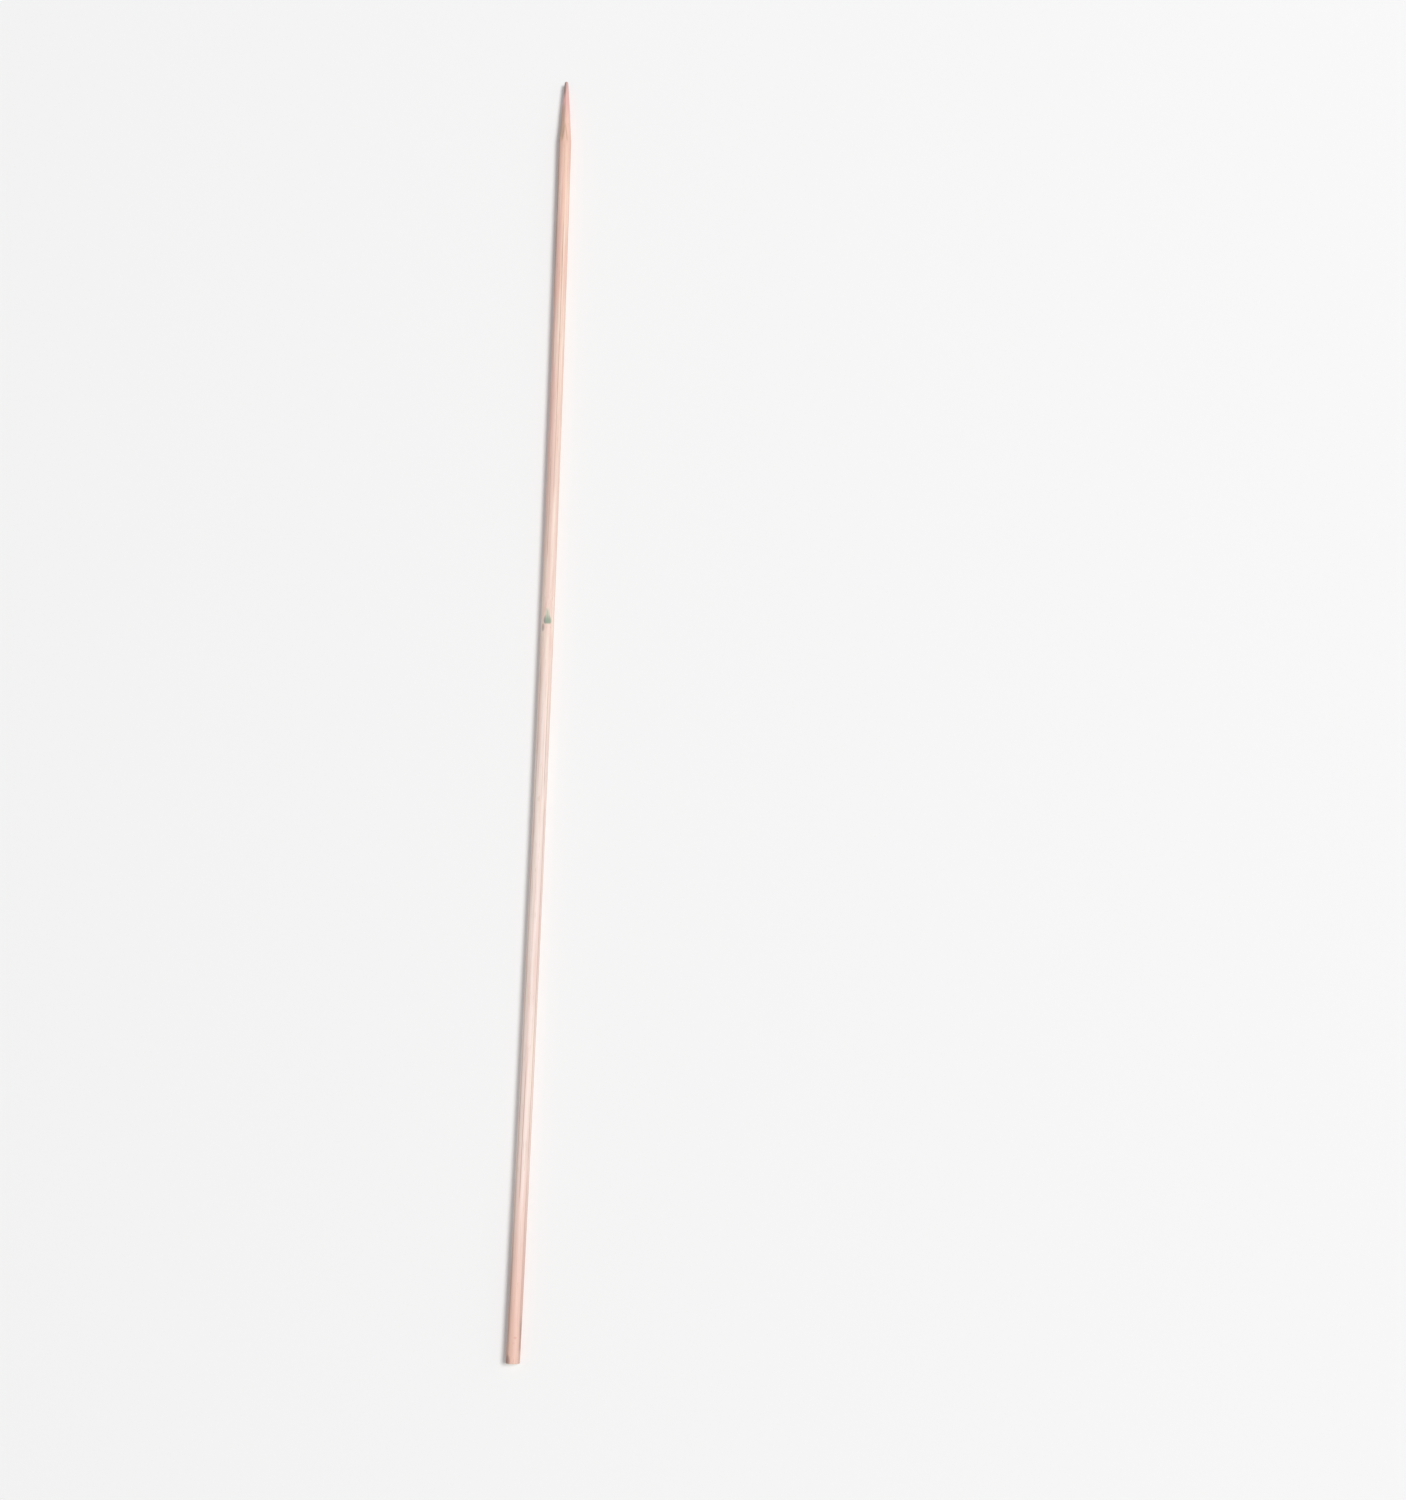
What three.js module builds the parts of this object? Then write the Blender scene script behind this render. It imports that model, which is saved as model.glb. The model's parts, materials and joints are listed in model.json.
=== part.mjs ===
// Bamboo skewer: a thin round stick of split bamboo, ground to a point at one end and cut square at the other.
// It lies along Y, as it does on a table, with the point towards +Y. Millimetres, +Z up.
// The origin is on the table, below the middle of the stick's box.

import * as THREE from "three";
import { mergeVertices } from "three/addons/utils/BufferGeometryUtils.js";

// Stick
const STICK_LENGTH = 300;
const STICK_RADIUS = 1.5;
const BOW_HEIGHT = 0.8; // how far the middle stands to the side of the two ends

// Flats along the stick, where the split strip was too thin to fill the round die.
// Each is an angle round the stick, from the top towards +X, and a depth below the round.
const UNDER_FLAT_DEPTH = 0.1;
const SIDE_FLAT_DEPTH = 0.04;
const FLATS = [
  { angle: THREE.MathUtils.degToRad(180), depth: UNDER_FLAT_DEPTH },
  { angle: THREE.MathUtils.degToRad(78), depth: SIDE_FLAT_DEPTH },
  { angle: THREE.MathUtils.degToRad(-52), depth: SIDE_FLAT_DEPTH },
];

// Cut end
const RIM_RADIUS = 0.25; // edge rounded by tumbling

// Point
const POINT_LENGTH = 16;
const POINT_FULLNESS = 0.87; // 1 is a straight cone, less swells its sides
const TIP_RADIUS = 0.46;
const TIP_LEAN = 0.1; // how far the tip lies off the stick's axis, towards -X
const GROUND_FACETS = 5;
const FACET_SHARE = 0.6; // 0 leaves the point round, 1 makes its section a plain polygon

// Joint of the bamboo: a spoon-shaped dip that the die didn't reach, with a lip at its blunt end
const JOINT_FROM_TIP = 137;
const JOINT_ANGLE = THREE.MathUtils.degToRad(8); // from the top towards +X
const DIP_LENGTH = 4.2;
const DIP_WIDTH = 1.9;
const DIP_DEPTH = 0.16;
const LIP_LENGTH = 1.6;
const LIP_HEIGHT = 0.07;

// Facets
const SIDES = 36;
const RIM_STEPS = 3;
const BODY_STEP = 20;
const JOINT_STEP = 0.6;
const POINT_STEPS = 14;
const NOSE_STEPS = 3;

// A turned profile from the middle of the cut end to the tip, as radius and height along the stick
function stickProfile() {
  const profile = [new THREE.Vector2(0, 0)];
  const quarterTurn = Math.PI / 2;
  for (let step = 0; step <= RIM_STEPS; step += 1) {
    const turn = (quarterTurn * step) / RIM_STEPS;
    const radius = STICK_RADIUS - RIM_RADIUS * (1 - Math.sin(turn));
    profile.push(new THREE.Vector2(radius, RIM_RADIUS * (1 - Math.cos(turn))));
  }

  const shoulder = STICK_LENGTH - POINT_LENGTH;
  const jointStart = STICK_LENGTH - JOINT_FROM_TIP - DIP_LENGTH / 2 - LIP_LENGTH;
  const jointEnd = STICK_LENGTH - JOINT_FROM_TIP + DIP_LENGTH / 2;
  addRings(profile, RIM_RADIUS, jointStart, BODY_STEP);
  addRings(profile, jointStart, jointEnd, JOINT_STEP);
  addRings(profile, jointEnd, shoulder, BODY_STEP);

  const noseCentre = STICK_LENGTH - TIP_RADIUS;
  for (let step = 1; step <= POINT_STEPS; step += 1) {
    const height = THREE.MathUtils.lerp(shoulder, noseCentre, step / POINT_STEPS);
    profile.push(new THREE.Vector2(groundRadius(height), height));
  }
  for (let step = 1; step <= NOSE_STEPS; step += 1) {
    const turn = (quarterTurn * step) / NOSE_STEPS;
    const radius = step === NOSE_STEPS ? 0 : TIP_RADIUS * Math.cos(turn);
    profile.push(new THREE.Vector2(radius, noseCentre + TIP_RADIUS * Math.sin(turn)));
  }
  return profile;
}

// Evenly spaced rings of the round body, after one height and up to another
function addRings(profile, from, to, longestStep) {
  const rings = Math.ceil((to - from) / longestStep);
  for (let ring = 1; ring <= rings; ring += 1) {
    profile.push(new THREE.Vector2(STICK_RADIUS, THREE.MathUtils.lerp(from, to, ring / rings)));
  }
}

// Radius that grinding leaves at a height
function groundRadius(height) {
  const fromNose = (STICK_LENGTH - TIP_RADIUS - height) / (POINT_LENGTH - TIP_RADIUS);
  const ground = Math.pow(THREE.MathUtils.clamp(fromNose, 0, 1), POINT_FULLNESS);
  return THREE.MathUtils.lerp(TIP_RADIUS, STICK_RADIUS, ground);
}

// Greatest radius that the flats allow in one direction
function flatLimit(angle) {
  let limit = STICK_RADIUS;
  for (const flat of FLATS) {
    const facing = Math.cos(angle - flat.angle);
    if (facing > 0) {
      limit = Math.min(limit, (STICK_RADIUS - flat.depth) / facing);
    }
  }
  return limit;
}

// Share of a ground radius that the facets of the point leave in one direction
function facetShare(angle) {
  const facetAngle = (2 * Math.PI) / GROUND_FACETS;
  const offMiddle = THREE.MathUtils.euclideanModulo(angle, facetAngle) - facetAngle / 2;
  const polygon = Math.cos(facetAngle / 2) / Math.cos(offMiddle);
  return THREE.MathUtils.lerp(1, polygon, FACET_SHARE);
}

// Change of radius at the joint, on the side that faces up
function jointRelief(height, angle) {
  const acrossDip = (STICK_RADIUS * (angle - JOINT_ANGLE)) / (DIP_WIDTH / 2);
  if (Math.abs(acrossDip) >= 1) {
    return 0;
  }
  const middling = Math.pow(Math.cos((acrossDip * Math.PI) / 2), 2);
  const bluntEnd = STICK_LENGTH - JOINT_FROM_TIP - DIP_LENGTH / 2;
  const intoDip = (height - bluntEnd) / DIP_LENGTH;
  if (intoDip > 0 && intoDip < 1) {
    return -DIP_DEPTH * middling * Math.sin(Math.PI * Math.sqrt(intoDip));
  }
  const intoLip = (bluntEnd - height) / LIP_LENGTH;
  if (intoLip > 0 && intoLip < 1) {
    return LIP_HEIGHT * middling * Math.sin(Math.PI * intoLip);
  }
  return 0;
}

// The profile is turned, then each point of it goes to the radius and place that the real stick has there
function stickGeometry() {
  const turned = new THREE.LatheGeometry(stickProfile(), SIDES);
  turned.deleteAttribute("normal");
  turned.deleteAttribute("uv");
  const geometry = mergeVertices(turned, 1e-5);
  const position = geometry.getAttribute("position");
  const shoulder = STICK_LENGTH - POINT_LENGTH;
  const corner = new THREE.Vector3();
  for (let index = 0; index < position.count; index += 1) {
    corner.fromBufferAttribute(position, index);
    const height = corner.y;
    const angle = Math.atan2(corner.x, corner.z);
    const intoPoint = THREE.MathUtils.clamp((height - shoulder) / POINT_LENGTH, 0, 1);
    const facets = THREE.MathUtils.lerp(1, facetShare(angle), Math.sqrt(intoPoint));
    const roundRadius = Math.hypot(corner.x, corner.z) * facets;
    const radius = Math.min(roundRadius, flatLimit(angle)) + jointRelief(height, angle);
    const alongStick = height / STICK_LENGTH;
    const bow = 4 * BOW_HEIGHT * alongStick * (1 - alongStick);
    const lean = TIP_LEAN * intoPoint * intoPoint;
    position.setXYZ(index, radius * Math.sin(angle) + bow - lean, height, radius * Math.cos(angle));
  }
  geometry.computeBoundingBox();
  const box = geometry.boundingBox;
  geometry.translate(-(box.min.x + box.max.x) / 2, -(box.min.y + box.max.y) / 2, -box.min.z);
  geometry.computeVertexNormals();
  return geometry;
}

const bamboo = new THREE.MeshStandardMaterial({ color: "#efd0be", roughness: 0.62, metalness: 0 });
const skewer = new THREE.Mesh(stickGeometry(), bamboo);
skewer.name = "skewer";

const model = new THREE.Group();
model.add(skewer);

export default model;
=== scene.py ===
# %% [markdown]
# # A bamboo skewer on a pale table
#
# A skewer is one thin stick of bamboo. A machine splits the stem into strips, pulls each strip through a
# round die, cuts it to length and grinds one end to a point. What we see of it is long: fibres that run
# from end to end, slow changes of colour, narrow flats that the die left, and one mark where the stick
# crosses a joint of the stem. The measured model comes first, because it says how large the stick is and
# where it lies.

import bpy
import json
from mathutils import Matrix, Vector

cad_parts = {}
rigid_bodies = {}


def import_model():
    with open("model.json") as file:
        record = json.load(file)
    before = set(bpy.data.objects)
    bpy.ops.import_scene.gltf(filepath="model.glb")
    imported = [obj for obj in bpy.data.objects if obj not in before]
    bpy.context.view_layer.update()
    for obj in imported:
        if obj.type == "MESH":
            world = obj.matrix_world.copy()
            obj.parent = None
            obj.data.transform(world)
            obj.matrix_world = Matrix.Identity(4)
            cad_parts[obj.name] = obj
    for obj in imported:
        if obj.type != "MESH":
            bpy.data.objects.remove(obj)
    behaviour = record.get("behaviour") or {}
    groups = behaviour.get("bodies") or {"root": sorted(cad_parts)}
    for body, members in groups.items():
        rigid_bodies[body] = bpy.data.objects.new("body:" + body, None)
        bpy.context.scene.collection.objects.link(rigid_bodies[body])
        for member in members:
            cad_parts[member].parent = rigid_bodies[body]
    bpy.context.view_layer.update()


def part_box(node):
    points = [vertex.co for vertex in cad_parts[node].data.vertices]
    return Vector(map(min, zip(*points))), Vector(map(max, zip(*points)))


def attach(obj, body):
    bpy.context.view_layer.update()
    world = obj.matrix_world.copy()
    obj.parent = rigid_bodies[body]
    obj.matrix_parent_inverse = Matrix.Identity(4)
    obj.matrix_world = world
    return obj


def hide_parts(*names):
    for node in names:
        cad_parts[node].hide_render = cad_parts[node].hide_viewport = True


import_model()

# %% Libraries
import json
import math

import bpy
import numpy as np
from mathutils import Vector

MM = 0.001
scene = bpy.context.scene
print("one millimetre is", MM, "of Blender's units")

# %% [markdown]
# ## The camera
#
# The stick is seen from above, with the eye a little nearer to its cut end, so that end looks thicker. A
# camera could be placed by hand, but it is easier to reason about a point on the table that it looks at, a
# direction and a distance. The lens and the distance together set how fast the stick narrows towards its
# point.


# %% Aim the camera
def direction(azimuth, elevation):
    """Unit vector from the table to a thing seen at these angles. Azimuth 0 is towards -Y."""
    return Vector((
        math.sin(azimuth) * math.cos(elevation),
        -math.cos(azimuth) * math.cos(elevation),
        math.sin(elevation),
    ))


LOOK_AT = Vector((36.55 * MM, -17.42 * MM, 0.0))
AZIMUTH = math.radians(1.2)
ELEVATION = math.radians(77.0)
DISTANCE = 410.8 * MM
LENS = 43.68
SENSOR_WIDTH = 36.0
NEAREST_SEEN = 10 * MM

toward_eye = direction(AZIMUTH, ELEVATION)
camera_data = bpy.data.cameras.new("camera")
camera_data.lens = LENS
camera_data.sensor_width = SENSOR_WIDTH
camera_data.clip_start = NEAREST_SEEN
camera = bpy.data.objects.new("camera", camera_data)
camera.location = LOOK_AT + toward_eye * DISTANCE
camera.rotation_euler = toward_eye.to_track_quat("Z", "Y").to_euler()
scene.collection.objects.link(camera)
scene.camera = camera
print("camera at, mm:", [round(v / MM, 1) for v in camera.location])

# %% [markdown]
# ## Table and light
#
# The table is a plain white sheet. Two lights are enough: a wide lamp high on the right, which gives the
# stick a bright side and a soft shadow on the left, and an even sky that fills the shadow. The lamp hangs
# metres away, so the sheet is evenly lit. Each gives about half of the light, and together they light a
# flat surface so that its colour renders about as it is written. The eye and reflections see a paler sky
# than the one that lights.

# %% Lay the table
TABLE_SIDE = 6.0
TABLE_WHITE = (0.95, 0.95, 0.95, 1)
TABLE_ROUGHNESS = 0.9
TABLE_SHINE = 0.1

bpy.ops.mesh.primitive_plane_add(size=TABLE_SIDE, location=(0, 0, 0))
table = bpy.context.object
table.name = "table"
table_finish = bpy.data.materials.new("white_table")
table_finish.use_nodes = True
table_shader = table_finish.node_tree.nodes["Principled BSDF"]
table_shader.inputs["Base Color"].default_value = TABLE_WHITE
table_shader.inputs["Roughness"].default_value = TABLE_ROUGHNESS
table_shader.inputs["Specular IOR Level"].default_value = TABLE_SHINE
table.data.materials.append(table_finish)
print("table is", TABLE_SIDE, "m wide")

# %% Hang the lamp
LAMP_AZIMUTH = math.radians(100)
LAMP_ELEVATION = math.radians(60)
LAMP_DISTANCE = 5.0
LAMP_SIDE = 1.8
LAMP_LIGHT = 0.54

toward_lamp = direction(LAMP_AZIMUTH, LAMP_ELEVATION)
lamp_data = bpy.data.lights.new("window_lamp", "AREA")
lamp_data.shape = "SQUARE"
lamp_data.size = LAMP_SIDE
lamp_data.energy = LAMP_LIGHT * (math.pi * LAMP_DISTANCE) ** 2 / math.sin(LAMP_ELEVATION)
lamp = bpy.data.objects.new("window_lamp", lamp_data)
lamp.location = toward_lamp * LAMP_DISTANCE
lamp.rotation_euler = toward_lamp.to_track_quat("Z", "Y").to_euler()
scene.collection.objects.link(lamp)
print("lamp gives", LAMP_LIGHT, "of the light, from", round(lamp_data.energy), "W")

# %% Make a white sky
world = bpy.data.worlds.new("sky")
scene.world = world
world.use_nodes = True
sky_nodes = world.node_tree.nodes
sky_links = world.node_tree.links
sky_nodes.clear()
background = sky_nodes.new("ShaderNodeBackground")
background.inputs["Color"].default_value = (1, 1, 1, 1)
sky_output = sky_nodes.new("ShaderNodeOutputWorld")
sky_links.new(background.outputs[0], sky_output.inputs["Surface"])
scene.view_settings.view_transform = "Standard"
print("sky is white, colours are shown by", scene.view_settings.view_transform)

# %% Show a paler sky than the one that lights
SKY_LIGHT = 0.44
SKY_SEEN = 0.92

light_path = sky_nodes.new("ShaderNodeLightPath")
seen = sky_nodes.new("ShaderNodeMath")
seen.operation = "MAXIMUM"
strength = sky_nodes.new("ShaderNodeMix")
strength.data_type = "FLOAT"
strength.inputs[2].default_value = SKY_LIGHT
strength.inputs[3].default_value = SKY_SEEN
sky_links.new(light_path.outputs["Is Camera Ray"], seen.inputs[0])
sky_links.new(light_path.outputs["Is Glossy Ray"], seen.inputs[1])
sky_links.new(seen.outputs[0], strength.inputs[0])
sky_links.new(strength.outputs[0], background.inputs["Strength"])
print("sky lights with", SKY_LIGHT, "and shows as", SKY_SEEN)

# %% [markdown]
# ## The stick as rings and columns
#
# The whole surface can be told in two numbers: how far we are from the tip, and which way we face round
# the stick. A grid of rings and columns holds both. One formula then gives the radius at each crossing,
# and the grid becomes a mesh. That beats modifiers here, because the fibres are columns of the grid and so
# come out exactly along the stick. Rings stand close together at the point, the joint and the cut end,
# where the shape turns quickly, and far apart between them.

# %% Sizes from the measured model
RADIUS = 1.5 * MM
UNDER_FLAT_DEPTH = 0.1 * MM

low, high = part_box("skewer")
length = high.y - low.y
bow = high.x - low.x - 2 * RADIUS
axis_height = low.z + RADIUS - UNDER_FLAT_DEPTH
print("stick is", round(length / MM, 2), "mm long and bows by", round(bow / MM, 2), "mm")

# %% Rings along the body
# Distances are from the tip. Each stretch has its start, its end and the step between its rings.
TIP_RADIUS = 0.46 * MM
POINT_LENGTH = 16 * MM
JOINT_FROM_TIP = 137 * MM
JOINT_REACH = 4 * MM
RIM_RADIUS = 0.25 * MM
FINE_STEP = 0.2 * MM
JOINT_STEP = 0.16 * MM
PLAIN_STEP = 1.0 * MM

past_point = POINT_LENGTH + 1 * MM
joint_start = JOINT_FROM_TIP - JOINT_REACH
joint_end = JOINT_FROM_TIP + JOINT_REACH
near_end = length - 3 * MM
stretches = [
    (TIP_RADIUS, past_point, FINE_STEP),
    (past_point, joint_start, PLAIN_STEP),
    (joint_start, joint_end, JOINT_STEP),
    (joint_end, near_end, PLAIN_STEP),
    (near_end, length - RIM_RADIUS, FINE_STEP),
]
body_rings = np.concatenate([
    np.linspace(start, end, math.ceil((end - start) / step), endpoint=False)
    for start, end, step in stretches
])
print("rings along the body:", len(body_rings))

# %% Round both ends
NOSE_RINGS = 6
RIM_RINGS = 7

nose_turn = np.linspace(0, math.pi / 2, NOSE_RINGS, endpoint=False)[1:][::-1]
nose_rings = TIP_RADIUS * (1 - np.sin(nose_turn))
rim_turn = np.linspace(0, math.pi / 2, RIM_RINGS)
rim_rings = length - RIM_RADIUS * (1 - np.sin(rim_turn))
from_tip = np.concatenate([nose_rings, body_rings, rim_rings])
end_share = np.concatenate([
    np.cos(nose_turn),
    np.ones(len(body_rings)),
    1 - RIM_RADIUS / RADIUS * (1 - np.cos(rim_turn)),
])
print("rings in all:", len(from_tip))

# %% Directions round the stick, from straight up towards +X
COLUMNS = 192

facing = np.linspace(0, 2 * math.pi, COLUMNS, endpoint=False)
ring, column = np.meshgrid(from_tip, facing, indexing="ij")
print("crossings of rings and columns:", ring.size)

# %% [markdown]
# ## Point, flats and joint
#
# The point is ground on a belt, a few strokes to a turn. That leaves soft facets, slightly swelled sides
# and a blunt tip that leans a little. A strip that is a little too thin doesn't fill the die, so the stick
# keeps narrow flats along its length. At the joint of the stem the grain swerves, and the die leaves a
# spoon-shaped dip with a small lip at its blunt end. Each of these only changes the radius, so each is one
# short formula of the ring and the column.

# %% Grind the point
POINT_FULLNESS = 0.87

ground = np.clip((ring - TIP_RADIUS) / (POINT_LENGTH - TIP_RADIUS), 0, 1) ** POINT_FULLNESS
radius = (TIP_RADIUS + (RADIUS - TIP_RADIUS) * ground) * end_share[:, None]
print("tip is", round(2 * TIP_RADIUS / MM, 2), "mm thick, body", round(2 * radius.max() / MM, 2), "mm")

# %% Leave soft facets on the point
GROUND_FACETS = 5
FACET_SHARE = 0.6

facet_angle = 2 * math.pi / GROUND_FACETS
off_middle = np.mod(column, facet_angle) - facet_angle / 2
polygon = math.cos(facet_angle / 2) / np.cos(off_middle)
into_point = np.clip((POINT_LENGTH - ring) / POINT_LENGTH, 0, 1)
facet = 1 - FACET_SHARE * np.sqrt(into_point) * (1 - polygon)
radius = radius * facet
print("facets take off up to", round(100 * (1 - facet.min())), "% of the radius")

# %% Keep within the flats
# Each flat has the direction it faces, in degrees from the top towards +X, and its depth.
SIDE_FLAT_DEPTH = 0.04 * MM
FLATS = [(180, UNDER_FLAT_DEPTH), (78, SIDE_FLAT_DEPTH), (-52, SIDE_FLAT_DEPTH)]
EDGE_SHARPNESS = 260.0
LEAST_COSINE = 1e-3


def flat_limit(angle):
    """Greatest radius in one direction, with the edges of the flats slightly rounded."""
    total = np.ones_like(angle)
    for degrees, depth in FLATS:
        cosine = np.maximum(np.cos(angle - math.radians(degrees)), LEAST_COSINE)
        total += (RADIUS * cosine / (RADIUS - depth)) ** EDGE_SHARPNESS
    return RADIUS * total ** (-1 / EDGE_SHARPNESS)


radius = np.minimum(radius, flat_limit(column))
print("flats take off up to", round((RADIUS - flat_limit(facing).min()) / MM, 3), "mm")

# %% Sink the dip at the joint and raise its lip
DIP_LENGTH = 4.2 * MM
DIP_WIDTH = 1.9 * MM
DIP_DEPTH = 0.16 * MM
LIP_LENGTH = 1.6 * MM
LIP_HEIGHT = 0.06 * MM
DIP_FACING = math.radians(8)


def turn_from(angle):
    """How far each column lies from a direction round the stick, from -pi to pi."""
    return np.mod(column - angle + math.pi, 2 * math.pi) - math.pi


off_dip = np.clip(np.abs(RADIUS * turn_from(DIP_FACING)) / (DIP_WIDTH / 2), 0, 1)
middling = np.cos(off_dip * math.pi / 2) ** 2
blunt_end = JOINT_FROM_TIP + DIP_LENGTH / 2
into_dip = np.clip((blunt_end - ring) / DIP_LENGTH, 0, 1)
into_lip = np.clip((ring - blunt_end) / LIP_LENGTH, 0, 1)
dip = DIP_DEPTH * middling * np.sin(math.pi * np.sqrt(into_dip))
lip = LIP_HEIGHT * middling * np.sin(math.pi * into_lip)
radius = radius - dip + lip
print("dip is", round(dip.max() / MM, 2), "mm deep, lip", round(lip.max() / MM, 2), "mm high")

# %% [markdown]
# ## Fibres
#
# Bamboo has no rings or rays. It is pale soft tissue with dozens of tough bundles that run straight
# through the stick. Where the die cuts a bundle open it leaves a fine groove some millimetres long, and
# between bundles the surface swells very slightly. Random numbers on a coarse net, smoothed along the
# stick, give each column its own grooves. A fixed seed makes them the same in every run.


# %% Smooth random values along each column
def run_noise(seed, columns, spacing):
    """Values from 0 to 1 that change smoothly along the stick and freely from column to column."""
    knots = int(length / spacing) + 3
    values = np.random.default_rng(seed).random((knots, columns))
    knot = from_tip / spacing
    below = np.floor(knot).astype(int)
    share = knot - below
    share = (share * share * (3 - 2 * share))[:, None]
    return values[below] * (1 - share) + values[below + 1] * share


def blur_round(values, reach):
    """Each value averaged with its neighbours round the stick."""
    return sum(np.roll(values, step, axis=1) for step in range(-reach, reach + 1)) / (2 * reach + 1)


BUNDLE_COLUMNS = 6

fine = blur_round(run_noise(seed=11, columns=COLUMNS, spacing=8 * MM), reach=1)
coarse = run_noise(seed=12, columns=COLUMNS // BUNDLE_COLUMNS, spacing=30 * MM)
bundles = blur_round(np.repeat(coarse, BUNDLE_COLUMNS, axis=1), reach=BUNDLE_COLUMNS // 2)
print("fibre noise:", fine.shape, "from", round(float(fine.min()), 2), "to", round(float(fine.max()), 2))

# %% Cut the grooves
GROOVE_DEPTH = 0.03 * MM
SWELL = 0.02 * MM
GROOVE_FROM = 0.62
GROOVE_FULL = 0.85

groove = np.clip((fine - GROOVE_FROM) / (GROOVE_FULL - GROOVE_FROM), 0, 1)
surface_only = end_share[:, None] * np.clip(radius / RADIUS, 0, 1)
radius = radius - (GROOVE_DEPTH * groove + SWELL * bundles) * surface_only
print("grooves cover", round(100 * float((groove > 0.2).mean())), "% of the stick")

# %% Open a few bundles for a long way
# Each has a direction in degrees, from the top towards +X, and the distances from the tip where it runs.
OPENED_BUNDLES = [
    (-66, 18 * MM, 92 * MM),
    (14, 34 * MM, 112 * MM),
    (-24, 96 * MM, 128 * MM),
    (-44, 144 * MM, 196 * MM),
    (38, 150 * MM, 182 * MM),
    (-55, 190 * MM, 299 * MM),
    (52, 178 * MM, 262 * MM),
    (50, 258 * MM, 297 * MM),
    (-8, 236 * MM, 270 * MM),
    (128, 40 * MM, 170 * MM),
    (-118, 90 * MM, 230 * MM),
]
OPENED_WIDTH = 0.16 * MM
OPENED_DEPTH = 0.045 * MM
OPENED_FADE = 6 * MM
MEANDER = math.radians(1.6)
MEANDER_RUN = 11 * MM
MEANDER_SHIFT = 2.4

opened = np.zeros_like(ring)
for number, (degrees, start, end) in enumerate(OPENED_BUNDLES):
    meander = MEANDER * np.sin(ring / MEANDER_RUN + MEANDER_SHIFT * number)
    off_line = np.abs(RADIUS * (turn_from(math.radians(degrees)) - meander)) / OPENED_WIDTH
    run = np.clip(np.minimum(ring - start, end - ring) / OPENED_FADE, 0, 1)
    opened = np.maximum(opened, np.clip(1 - off_line, 0, 1) * run)
radius = radius - OPENED_DEPTH * opened
print("opened bundles:", len(OPENED_BUNDLES))

# %% Tear the ground surface a little
TEAR_DEPTH = 0.018 * MM
TEAR_LENGTH = 0.9 * MM
TEAR_FADE = 1 * MM

torn = run_noise(seed=14, columns=COLUMNS, spacing=TEAR_LENGTH)
on_point = np.clip((POINT_LENGTH - ring) / TEAR_FADE, 0, 1)
radius = radius - TEAR_DEPTH * torn * on_point * surface_only
print("torn fibres up to", round(TEAR_DEPTH / MM, 3), "mm deep on the point")

# %% [markdown]
# ## From radius to mesh
#
# Each crossing now has a radius. We place it round the middle line of the stick, which bows to the side by
# less than a millimetre and leans a little at the tip. Quads join neighbouring rings, one point closes the
# nose, and a few smaller rings close the cut end. The cut face gets slight dents, because a saw leaves
# fibre ends proud.

# %% Place the crossings in space
TIP_LEAN = 0.1 * MM

share_along = ring / length
middle_x = low.x + RADIUS + 4 * bow * share_along * (1 - share_along) - TIP_LEAN * into_point ** 2
points = np.stack([
    middle_x + radius * np.sin(column),
    high.y - ring,
    axis_height + radius * np.cos(column),
], axis=-1)
print("highest point, mm:", round(points[..., 2].max() / MM, 3))

# %% Rings of the cut face
FACE_RINGS = 12
FACE_DENT = 0.035 * MM
DENT_COLUMNS = 4

face_share = np.linspace(1, 0, FACE_RINGS, endpoint=False)[1:]
dents = np.random.default_rng(13).random((len(face_share), COLUMNS // DENT_COLUMNS)) * FACE_DENT
rim = points[-1]
face_centre = rim.mean(axis=0)
face = face_centre + (rim - face_centre) * face_share[:, None, None]
face[..., 1] += blur_round(np.repeat(dents, DENT_COLUMNS, axis=1), reach=DENT_COLUMNS // 2)
print("cut face rings:", len(face))

# %% Join neighbouring rings with quads
grid = np.concatenate([points, face])
rows = len(grid)

quads = []
for row in range(rows - 1):
    for col in range(COLUMNS):
        beside = (col + 1) % COLUMNS
        quads.append((
            row * COLUMNS + col,
            (row + 1) * COLUMNS + col,
            (row + 1) * COLUMNS + beside,
            row * COLUMNS + beside,
        ))
print("quads:", len(quads))

# %% Close both ends and make the mesh
tip = (middle_x[0, 0], high.y, axis_height)
vertices = np.concatenate([grid.reshape(-1, 3), [tip], [face_centre]])
tip_index = rows * COLUMNS
centre_index = tip_index + 1
last = (rows - 1) * COLUMNS
nose_fan = [(tip_index, col, (col + 1) % COLUMNS) for col in range(COLUMNS)]
face_fan = [(centre_index, last + (col + 1) % COLUMNS, last + col) for col in range(COLUMNS)]

mesh = bpy.data.meshes.new("stick")
mesh.from_pydata(vertices.tolist(), [], quads + nose_fan + face_fan)
mesh.validate()
mesh.polygons.foreach_set("use_smooth", [True] * len(mesh.polygons))
stick = bpy.data.objects.new("stick", mesh)
scene.collection.objects.link(stick)
print("stick mesh:", len(mesh.vertices), "vertices,", len(mesh.polygons), "faces")


# %% Keep grooves and opened bundles on the mesh
def keep_on_mesh(name, values):
    """Store one number for each crossing, and 0 on the cut face, for the material to read."""
    attribute = mesh.attributes.new(name, "FLOAT", "POINT")
    every = np.zeros(len(mesh.vertices), np.float32)
    every[:values.size] = values.ravel()
    attribute.data.foreach_set("value", every)
    print(name, "goes up to", round(float(every.max()), 2))


keep_on_mesh("groove", groove * surface_only)
keep_on_mesh("opened", opened)

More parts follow.
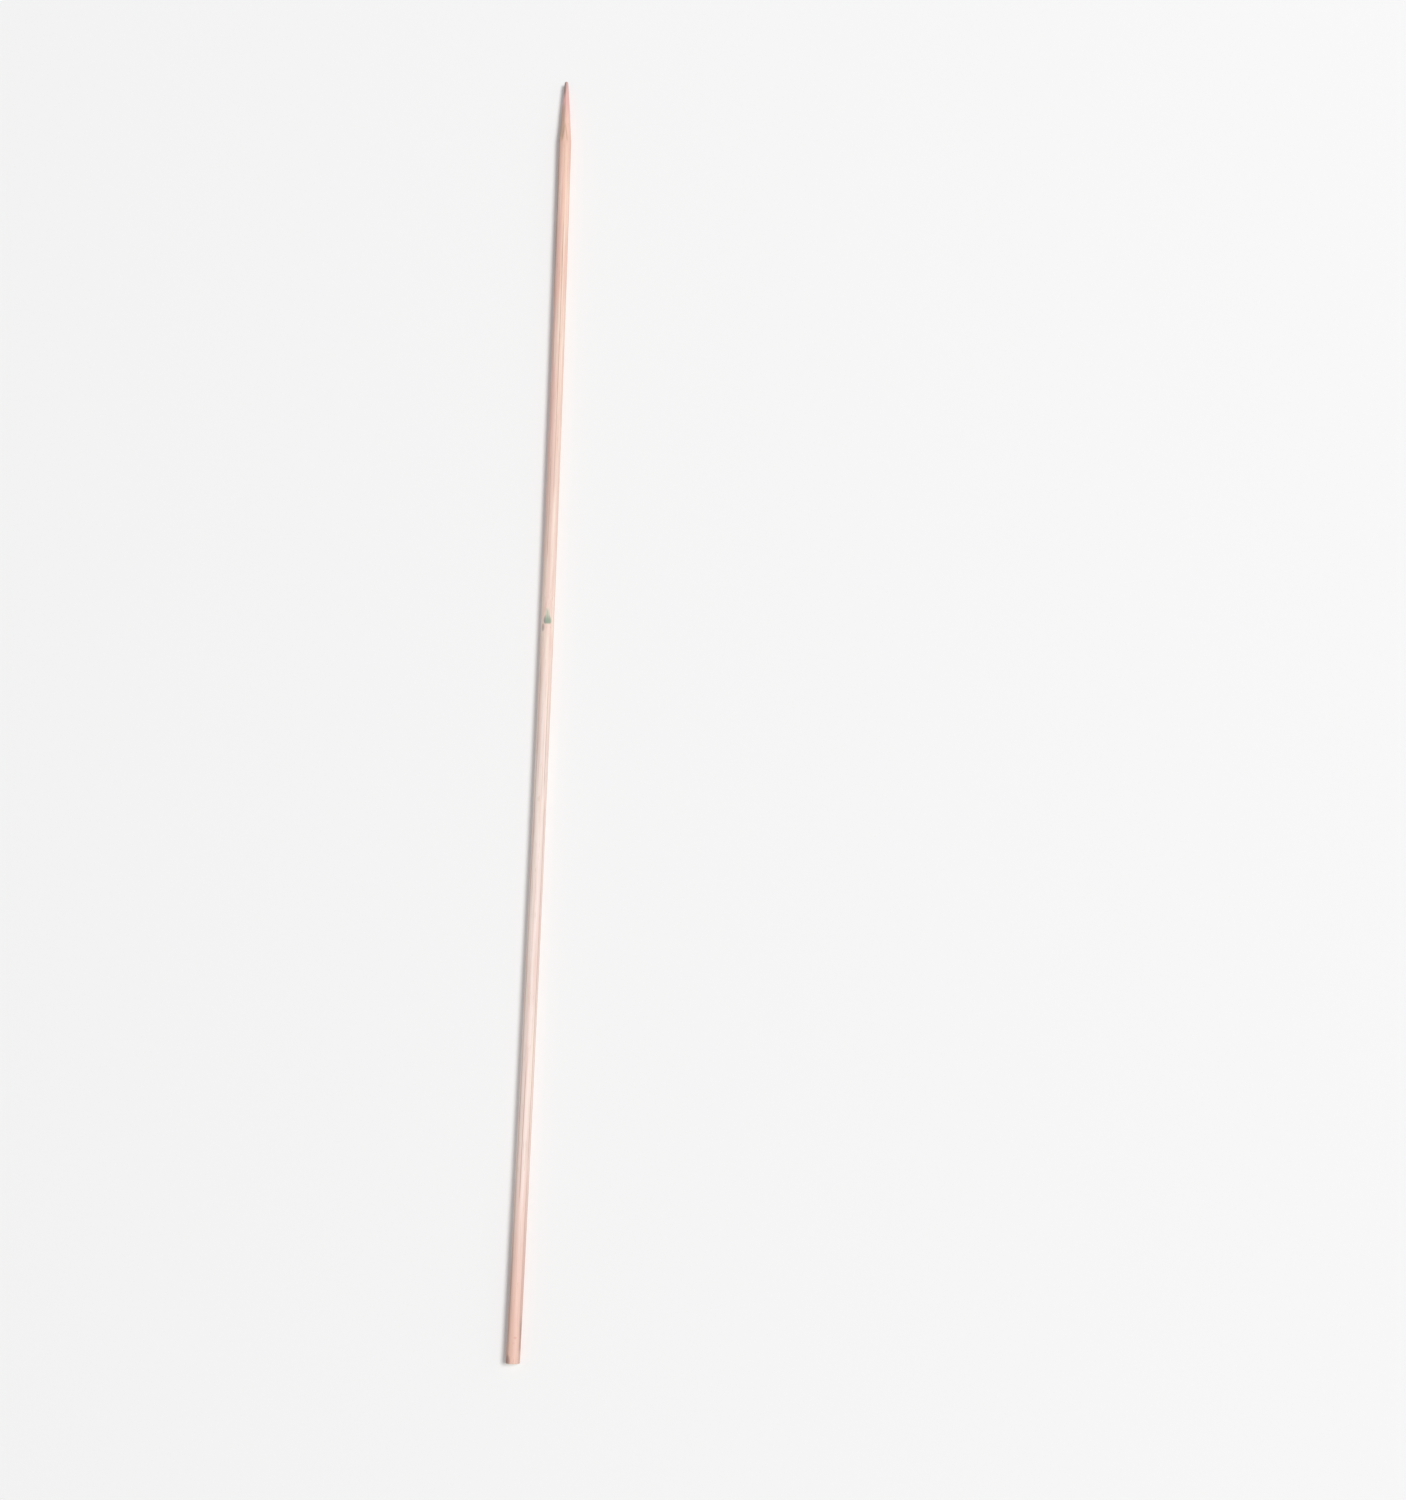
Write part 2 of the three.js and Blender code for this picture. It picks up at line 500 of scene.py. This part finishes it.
# %% [markdown]
# ## The bamboo finish
#
# The colour is a solid texture: it fills the bamboo, and the surface shows whatever it cuts. Noise
# squeezed across the stick and stretched along it gives bundles, which show as streaks on the body and as
# nested tongues on the ground point. A picture wrapped round the stick couldn't do that. The stick bows,
# so the texture is bent the same way first, and near the joint its grain spreads. A slow ramp along the
# stick then gives the warm ends and the pale middle.

# %% Start the material
bamboo = bpy.data.materials.new("bamboo")
bamboo.use_nodes = True
nodes = bamboo.node_tree.nodes
links = bamboo.node_tree.links
shader = nodes["Principled BSDF"]


def add_node(kind, **settings):
    """A new node with its settings. Inputs are named in_ and their name or number, and may be links."""
    node = nodes.new(kind)
    for name, value in settings.items():
        if not name.startswith("in_"):
            setattr(node, name, value)
            continue
        key = name[3:]
        socket = node.inputs[int(key) if key.isdigit() else key]
        if isinstance(value, bpy.types.NodeSocket):
            links.new(value, socket)
        else:
            socket.default_value = value
    return node


print("shader inputs:", len(shader.inputs))


# %% Coordinates that follow the bow
def math_node(operation, first, second=0.0, third=0.0):
    """The result of one sum."""
    return add_node("ShaderNodeMath", operation=operation, in_0=first, in_1=second, in_2=third).outputs[0]


def product(*factors):
    """All the factors multiplied."""
    result = factors[0]
    for factor in factors[1:]:
        result = math_node("MULTIPLY", result, factor)
    return result


place = add_node("ShaderNodeTexCoord").outputs["Object"]
x, y, z = add_node("ShaderNodeSeparateXYZ", in_0=place).outputs
bend = product(y, y, 4 * bow / length ** 2)
sideways = math_node("ADD", math_node("ADD", x, bend), -(low.x + RADIUS + bow))
upwards = math_node("SUBTRACT", z, axis_height)
tip_distance = math_node("SUBTRACT", length / 2, y)
print("bend at the ends, mm:", round(bow / MM, 2))


# %% Grain that swerves round the joint
def between(value, start, end):
    """0 before start and 1 past end, or the other way round, with a smooth change."""
    return add_node(
        "ShaderNodeMapRange", interpolation_type="SMOOTHSTEP", in_0=value, in_1=start, in_2=end
    ).outputs[0]


def blend(mask, least, most):
    """The least value where the mask is 0 and the most where it is 1."""
    return math_node("MULTIPLY_ADD", mask, most - least, least)


SWERVE = 0.30
SWERVE_REACH = 6 * MM

to_joint = math_node("ABSOLUTE", math_node("SUBTRACT", tip_distance, JOINT_FROM_TIP))
swerve = blend(between(to_joint, SWERVE_REACH, 0.0), 1.0, 1.0 - SWERVE)
grain_x = math_node("MULTIPLY", sideways, swerve)
grain_z = math_node("MULTIPLY", upwards, swerve)
print("grain spreads by", SWERVE, "at the joint")


# %% Four sizes of fibre noise
def fibre_noise(across, along, detail=2.0, seed=0.0):
    """Noise with features of the given size across and along the stick, from 0 to 1."""
    vector = add_node(
        "ShaderNodeCombineXYZ",
        in_0=math_node("MULTIPLY", grain_x, 1 / across),
        in_1=math_node("MULTIPLY", y, 1 / along),
        in_2=math_node("MULTIPLY_ADD", grain_z, 1 / across, seed),
    )
    noise = add_node("ShaderNodeTexNoise", in_Vector=vector.outputs[0], in_Scale=1.0, in_Detail=detail)
    return noise.outputs["Fac"]


broad = fibre_noise(across=1.0 * MM, along=48 * MM)
streak = fibre_noise(across=0.42 * MM, along=26 * MM, seed=7.0)
hair = fibre_noise(across=0.11 * MM, along=8 * MM, seed=19.0)
dash = fibre_noise(across=0.13 * MM, along=2.6 * MM, detail=0.0, seed=31.0)
print("fibre noise made with", len(nodes), "nodes")

# %% Slow colour along the stick
# Places are shares from the cut end to the tip, and the drift moves them to and fro.
RAMP = [
    (0.00, (0.86, 0.55, 0.45)),
    (0.07, (0.91, 0.64, 0.55)),
    (0.15, (0.96, 0.78, 0.72)),
    (0.42, (0.93, 0.79, 0.73)),
    (0.52, (0.91, 0.70, 0.62)),
    (0.70, (0.90, 0.68, 0.58)),
    (0.90, (0.91, 0.60, 0.48)),
    (1.00, (0.84, 0.54, 0.45)),
]
DRIFT = 0.08

share = math_node("MULTIPLY_ADD", y, 1 / length, 0.5)
ramp = add_node("ShaderNodeValToRGB", in_0=math_node("ADD", share, blend(broad, -DRIFT, DRIFT)))
while len(ramp.color_ramp.elements) < len(RAMP):
    ramp.color_ramp.elements.new(0.5)
for element, (position, stop_colour) in zip(ramp.color_ramp.elements, RAMP):
    element.position = position
    element.color = (*stop_colour, 1)
print("colour stops along the stick:", len(RAMP))

# %% [markdown]
# ## Colour from side to side
#
# Next come the colours that differ across the stick. Each is mixed in by a mask: a number from 0 to 1,
# made from the distance from the tip, from the distance to the side or from the fibre noise. Adding a
# little noise to a distance before the mask is made frays its edge along the fibres. Masks in the stick's
# own coordinates need no unwrapping, and they stay in place when the mesh gets finer.


# %% Pinker left half near the point
def tint(base, added, mask):
    """The base colour with another one mixed in where the mask is high."""
    mix = add_node("ShaderNodeMix", data_type="RGBA", in_0=mask)
    links.new(base, mix.inputs[6])
    mix.inputs[7].default_value = (*added, 1)
    return mix.outputs[2]


def span(value, starts, full, fades, ends):
    """0 before it starts, 1 from where it is full to where it fades, and 0 past its end."""
    return product(between(value, starts, full), between(value, ends, fades))


def frayed(value, noise, amount):
    """A distance moved by noise, for a mask with a frayed edge."""
    return math_node("MULTIPLY_ADD", noise, amount, value)


PINK = (0.80, 0.47, 0.42)
PINK_SHARE = 0.58
PINK_RUN = (16 * MM, 34 * MM, 92 * MM, 128 * MM)
PINK_SIDE = (0.7 * MM, 0.0)
PINK_FRAY = 0.8 * MM

pink_side = between(frayed(sideways, broad, PINK_FRAY), *PINK_SIDE)
pink_mask = product(span(tip_distance, *PINK_RUN), pink_side, PINK_SHARE)
colour = tint(ramp.outputs[0], PINK, pink_mask)
print("pink from", round(PINK_RUN[0] / MM), "to", round(PINK_RUN[-1] / MM), "mm behind the tip")

# %% Greyer flanks: painted shade
# Painted shade: both flanks are darkened for the shade where the round sides turn away from the light. The
# right flank is the greyer one, and more so towards the cut end.
FLANK_SHADE = (0.52, 0.39, 0.35)
SIDE_FRAY = 0.5 * MM
RIGHT_SIDE = (0.5 * MM, 1.7 * MM)
RIGHT_CHANGE = (150 * MM, 225 * MM)
RIGHT_SHARES = (0.26, 0.44)
LEFT_SIDE = (-0.8 * MM, -1.3 * MM)
LEFT_SHARE = 0.12

uneven_side = frayed(sideways, streak, SIDE_FRAY)
right_shade_share = blend(between(tip_distance, *RIGHT_CHANGE), *RIGHT_SHARES)
colour = tint(colour, FLANK_SHADE, product(between(uneven_side, *RIGHT_SIDE), right_shade_share))
colour = tint(colour, FLANK_SHADE, product(between(uneven_side, *LEFT_SIDE), LEFT_SHARE))
print("grey share on the right:", RIGHT_SHARES, "and on the left:", LEFT_SHARE)

# %% Painted shade on the left edge behind the point
# A dark line of painted shade along the left edge, where the round side turns away from the lamp; full up
# to 30 mm behind the tip, gone by 90 mm.
LEFT_EDGE_SHADE = (0.27, 0.20, 0.17)
LEFT_EDGE_SHARE = 0.5
LEFT_EDGE_SIDE = (-0.65 * MM, -1.0 * MM)
LEFT_EDGE_FADE = (90 * MM, 30 * MM)

left_edge_run = between(tip_distance, *LEFT_EDGE_FADE)
left_edge_shade_mask = product(between(uneven_side, *LEFT_EDGE_SIDE), left_edge_run, LEFT_EDGE_SHARE)
colour = tint(colour, LEFT_EDGE_SHADE, left_edge_shade_mask)
print("left edge darker up to", round(LEFT_EDGE_FADE[0] / MM), "mm behind the tip")

# %% Streaks, hairs and dashes
# Each row has a colour, its noise, the values where the colour starts and is full, and its share.
CREAM = (0.95, 0.82, 0.70)
ROSE = (0.80, 0.53, 0.46)
FIBRE = (0.55, 0.34, 0.25)
CREAM_SHARES = (0.12, 0.62)
CREAM_FROM_TIP = 18 * MM
CREAM_FROM_CUT = 8 * MM
CREAM_FULL = 40 * MM

cream_run = span(tip_distance, CREAM_FROM_TIP, CREAM_FULL, length - CREAM_FULL, length - CREAM_FROM_CUT)
fibre_colours = [
    (CREAM, streak, 0.51, 0.66, blend(cream_run, *CREAM_SHARES)),
    (ROSE, streak, 0.47, 0.33, 0.42),
    (FIBRE, hair, 0.54, 0.72, 0.30),
    (FIBRE, dash, 0.74, 0.84, 0.45),
]
for fibre_colour, noise, starts, full, amount in fibre_colours:
    colour = tint(colour, fibre_colour, product(between(noise, starts, full), amount))
print("colours from fibre noise:", len(fibre_colours))

# %% Browner grooves and opened bundles
OPENED_BROWN = (0.46, 0.30, 0.24)
OPENED_SHARE = 0.62
OPENED_SEEN = (0.15, 0.9)
GROOVE_SHARE = 0.30

groove_value = add_node("ShaderNodeAttribute", attribute_name="groove").outputs["Fac"]
colour = tint(colour, FIBRE, product(groove_value, GROOVE_SHARE))
opened_value = add_node("ShaderNodeAttribute", attribute_name="opened").outputs["Fac"]
colour = tint(colour, OPENED_BROWN, product(between(opened_value, *OPENED_SEEN), OPENED_SHARE))
print("browner by", GROOVE_SHARE, "in grooves and by", OPENED_SHARE, "in opened bundles")

# %% Grey band near the cut end
BAND = (0.36, 0.26, 0.22)
BAND_SHARE = 0.46
BAND_SIDE = (-0.35 * MM, -1.05 * MM)
BAND_LENGTH = 42 * MM
BAND_FULL = 14 * MM

near_cut = between(tip_distance, length - BAND_LENGTH, length - BAND_FULL)
colour = tint(colour, BAND, product(near_cut, between(uneven_side, *BAND_SIDE), BAND_SHARE))
print("grey band over the last", round(BAND_LENGTH / MM), "mm")

# %% Painted shade on the right edge near the cut end
# Painted shade along the right edge, where the round side turns away: a little darker all along the band,
# and darkest in one streak close to the cut.
RIGHT_EDGE_SHADE = (0.26, 0.18, 0.15)
EDGE_SHARES = (0.22, 0.64)
EDGE_STREAK = (1.5 * MM, 3.5 * MM, 7 * MM, 10 * MM)
EDGE_STREAK_FRAY = 3 * MM
EDGE_SIDE = (1.0 * MM, 1.25 * MM)
EDGE_SIDE_FRAY = -0.15 * MM
EDGE_ABOVE = (0.05 * MM, 0.55 * MM)
EDGE_ABOVE_FRAY = 0.3 * MM

from_cut = math_node("SUBTRACT", length - EDGE_STREAK_FRAY / 2, tip_distance)
edge_streak = span(frayed(from_cut, streak, EDGE_STREAK_FRAY), *EDGE_STREAK)
edge_side = between(frayed(sideways, hair, EDGE_SIDE_FRAY), *EDGE_SIDE)
edge_above = between(frayed(upwards, hair, EDGE_ABOVE_FRAY), *EDGE_ABOVE)
edge_shade_mask = product(near_cut, edge_side, edge_above, blend(edge_streak, *EDGE_SHARES))
colour = tint(colour, RIGHT_EDGE_SHADE, edge_shade_mask)
print("dark streak up to", round(EDGE_STREAK[-1] / MM), "mm from the cut")

# %% [markdown]
# ## Scorched tip, tongue and joint mark
#
# Grinding heats the very tip, so it turns grey-brown, with a rosy stretch behind it. Its brown left side
# is painted shade.
# Where the grinding ends it cuts the bundles at a slant, which draws a tongue with brown edges. In the dip
# at the joint a last trace of the green skin of the stem is left, darkest at the blunt end and fading
# towards the tip. All are masks again, broken up with the fibre noise.

# %% Scorch the tip, with painted shade on its left side
ROSY = (0.72, 0.40, 0.41)
ROSY_SHARE = 0.55
ROSY_FADE = (12 * MM, 6 * MM)
LEFT_POINT_SHADE = (0.40, 0.29, 0.20)
BROWN_SHARE = 0.5
BROWN_RUN = (5 * MM, 8 * MM, 15 * MM, 17 * MM)
SCORCH_AND_SHADE = (0.26, 0.21, 0.19)
SCORCH_AND_SHADE_SHARES = (0.10, 0.82)
SCORCH_FADE = (5.5 * MM, 2 * MM)
TIP_FRAY = 4 * MM
LEFT_OF_TIP = (0.35 * MM, -0.25 * MM)
LEFT_OF_TIP_FRAY = 0.3 * MM

uneven = frayed(math_node("SUBTRACT", tip_distance, TIP_FRAY / 2), streak, TIP_FRAY)
left_side = between(frayed(sideways, hair, LEFT_OF_TIP_FRAY), *LEFT_OF_TIP)
colour = tint(colour, ROSY, product(between(uneven, *ROSY_FADE), ROSY_SHARE))
# Painted shade on the left side of the point, which turns away from the lamp: a brown stretch, and a
# darker scorch than on the right.
colour = tint(colour, LEFT_POINT_SHADE, product(span(uneven, *BROWN_RUN), left_side, BROWN_SHARE))
colour = tint(colour, SCORCH_AND_SHADE, product(between(uneven, *SCORCH_FADE), blend(left_side, *SCORCH_AND_SHADE_SHARES)))
print("scorch reaches about", round(SCORCH_FADE[0] / MM, 1), "mm back from the tip")

# %% Draw the tongue where the grinding ends
TONGUE_BROWN = (0.50, 0.33, 0.20)
TONGUE_SHARE = 0.6
TONGUE_TIP = 12 * MM
TONGUE_SLOPE = 0.14
TONGUE_LINE = (0.28 * MM, 0.10 * MM)
TONGUE_FRAY = 0.15 * MM
TONGUE_RUN = (11.5 * MM, 13 * MM, POINT_LENGTH, POINT_LENGTH + 1.6 * MM)
ON_TOP = (0.0, 0.6 * MM)

on_top = between(upwards, *ON_TOP)
into_tongue = math_node("SUBTRACT", tip_distance, TONGUE_TIP)
tongue_edge = math_node("MULTIPLY", into_tongue, TONGUE_SLOPE)
off_edge = math_node("ABSOLUTE", math_node("SUBTRACT", math_node("ABSOLUTE", sideways), tongue_edge))
tongue_line = between(frayed(off_edge, hair, TONGUE_FRAY), *TONGUE_LINE)
tongue_mask = product(tongue_line, span(tip_distance, *TONGUE_RUN), on_top, TONGUE_SHARE)
colour = tint(colour, TONGUE_BROWN, tongue_mask)
print("tongue opens from", round(TONGUE_TIP / MM), "to", round(POINT_LENGTH / MM), "mm behind the tip")

# %% Outline of the green trace
# Lengths are from the blunt end of the trace towards the tip. It is widest in its bell and narrow past it.
MARK_LENGTH = 3.9 * MM
MARK_WIDTH = 1.65 * MM
MARK_NECK = 1.0 * MM
MARK_PAST_DIP = 0.25 * MM
MARK_LEFT_OF_DIP = 0.1 * MM
MARK_BELL = (-0.6 * MM, 0.6 * MM, 0.9 * MM, 2.7 * MM)
MARK_RUN = (-0.15 * MM, 0.4 * MM, MARK_LENGTH - 1.3 * MM, MARK_LENGTH + 0.4 * MM)
MARK_EDGE = (-0.10 * MM, 0.22 * MM)
MARK_FRAY = 0.2 * MM

up_mark = math_node("SUBTRACT", blunt_end + MARK_PAST_DIP, tip_distance)
off_mark = math_node("SUBTRACT", sideways, RADIUS * math.sin(DIP_FACING) - MARK_LEFT_OF_DIP)
half_width = blend(span(up_mark, *MARK_BELL), MARK_NECK / 2, MARK_WIDTH / 2)
inside = math_node("SUBTRACT", half_width, math_node("ABSOLUTE", off_mark))
inside = frayed(math_node("SUBTRACT", inside, MARK_FRAY / 2), hair, MARK_FRAY)
mark = product(between(inside, *MARK_EDGE), span(up_mark, *MARK_RUN), on_top)
print("joint mark at", round(JOINT_FROM_TIP / MM), "mm from the tip")

# %% Colour the green trace
# It is pale all over, green at the blunt end and along one line, and grey at the left edge. Each row has a
# colour, the part of the trace that it takes, and its share.
MARK_PALE = (0.56, 0.60, 0.48)
MARK_GREEN = (0.25, 0.34, 0.26)
MARK_GREY = (0.34, 0.29, 0.29)
GREEN_END = (2.8 * MM, 0.8 * MM)
GREEN_LINE = (0.22 * MM, 0.08 * MM)
LINE_LEFT_OF_MARK = 0.1 * MM
GREY_SIDE = (-0.35 * MM, -0.65 * MM)

off_line = math_node("ABSOLUTE", math_node("ADD", off_mark, LINE_LEFT_OF_MARK))
mark_colours = [
    (MARK_PALE, 1.0, 0.72),
    (MARK_GREEN, between(up_mark, *GREEN_END), 0.78),
    (MARK_GREEN, between(off_line, *GREEN_LINE), 0.35),
    (MARK_GREY, between(off_mark, *GREY_SIDE), 0.75),
]
for mark_colour, part, amount in mark_colours:
    colour = tint(colour, mark_colour, product(mark, part, amount))
print("colours in the joint mark:", len(mark_colours))

# %% [markdown]
# ## Stains, painted shade and cut face
#
# Damp and dust leave small stains, and the left corner of the cut end, turned away from the lamp, gets an
# oval of painted shade. An oval mask is enough for each. The cut face is paler than the sides, since
# nothing has rubbed it, and its colour is lifted further as painted light, for the lamp hardly reaches
# that upright face. Every bundle ends there in a brown dot. A Voronoi texture suits that: it scatters one
# point in each small cell, and the distance to the nearest point draws the dots. Noise would give
# blotches.


# %% Small stains and a patch of painted shade
def stain_and_shade(base, oval_colour, from_tip_end, sideways_by, long, wide, amount):
    """The base colour with one small oval on the upper side; the ovals are stains, and one is painted
    shade.
    """
    off_x = math_node("MULTIPLY", math_node("SUBTRACT", sideways, sideways_by), 2 / wide)
    off_y = math_node("MULTIPLY", math_node("SUBTRACT", tip_distance, from_tip_end), 2 / long)
    off_both = math_node("ADD", product(off_x, off_x), product(off_y, off_y))
    return tint(base, oval_colour, product(between(off_both, *STAIN_EDGE), on_top, amount))


SMUDGE = (0.26, 0.20, 0.17)
RED_SPECK = (0.70, 0.30, 0.25)
PALE_SPECK = (0.74, 0.36, 0.29)
# Painted shade for the left corner of the cut end, which turns away from the lamp.
CORNER_SHADE = (0.20, 0.12, 0.12)
STAIN_EDGE = (1.6, 0.2)

# Each oval has its colour, its middle from the tip and to the side, its length, width and share. The last
# is painted shade on the left corner of the cut end.
stains_and_shade = [
    (SMUDGE, blunt_end + 1.0 * MM, -0.85 * MM, 1.9 * MM, 0.6 * MM, 0.5),
    (RED_SPECK, length - 5.3 * MM, 0.35 * MM, 0.45 * MM, 0.7 * MM, 0.4),
    (PALE_SPECK, length - 4.2 * MM, 0.10 * MM, 0.5 * MM, 0.5 * MM, 0.2),
    (CORNER_SHADE, length - 0.5 * MM, -1.05 * MM, 2.6 * MM, 1.1 * MM, 0.5),
]
for one_oval in stains_and_shade:
    colour = stain_and_shade(colour, *one_oval)
print("stains:", len(stains_and_shade))

# %% Pale cut face with bundle ends, partly painted light
# The cream of the cut end grain, made paler still as painted light, for the lamp hardly reaches the
# upright face.
CUT_FACE_AND_LIGHT = (0.96, 0.86, 0.70)
CUT_FACE_SHARE = 0.9
CUT_FACE_DEPTH = 0.16 * MM
CUT_FACE_FULL = 0.05 * MM
BUNDLE_SPACING = 0.38 * MM
DOT_EDGE = (0.42, 0.28)
DOT_FRAY = 0.15
DOT_SHARE = 0.6

cut_face = between(tip_distance, length - CUT_FACE_DEPTH, length - CUT_FACE_FULL)
colour = tint(colour, CUT_FACE_AND_LIGHT, product(cut_face, CUT_FACE_SHARE))
across_face = add_node(
    "ShaderNodeCombineXYZ",
    in_0=math_node("MULTIPLY", sideways, 1 / BUNDLE_SPACING),
    in_2=math_node("MULTIPLY", upwards, 1 / BUNDLE_SPACING),
)
bundle_ends = add_node("ShaderNodeTexVoronoi", in_Vector=across_face.outputs[0], in_Scale=1.0)
dots = between(frayed(bundle_ends.outputs["Distance"], hair, DOT_FRAY), *DOT_EDGE)
colour = tint(colour, FIBRE, product(cut_face, dots, DOT_SHARE))
print("bundle ends about", round(BUNDLE_SPACING / MM, 2), "mm apart")

# %% [markdown]
# ## Surface
#
# Dry bamboo without varnish is matt with a faint satin along the fibres. The relief finer than the mesh's
# own grooves is bump, up to three hundredths of a millimetre deep, from the same noise that colours the
# hairs and dashes. In the mesh it would take many more columns, for something that the eye hardly sees.

# %% Finish the shader
SATIN = 0.35
ROUGHNESS = (0.42, 0.72)
RELIEF_DEPTH = 0.03 * MM
RELIEF_STRENGTH = 0.7
DASH_RELIEF = 0.5

links.new(colour, shader.inputs["Base Color"])
links.new(blend(hair, *ROUGHNESS), shader.inputs["Roughness"])
shader.inputs["Specular IOR Level"].default_value = SATIN
height = math_node("MULTIPLY_ADD", dash, -DASH_RELIEF, math_node("MULTIPLY", hair, -1.0))
bump = add_node("ShaderNodeBump", in_Strength=RELIEF_STRENGTH, in_Distance=RELIEF_DEPTH, in_Height=height)
links.new(bump.outputs[0], shader.inputs["Normal"])
mesh.materials.append(bamboo)
print("bamboo finish has", len(nodes), "nodes")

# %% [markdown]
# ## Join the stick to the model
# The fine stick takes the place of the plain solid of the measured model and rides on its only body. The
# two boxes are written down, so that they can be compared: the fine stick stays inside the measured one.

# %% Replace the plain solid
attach(stick, "root")
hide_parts("skewer")
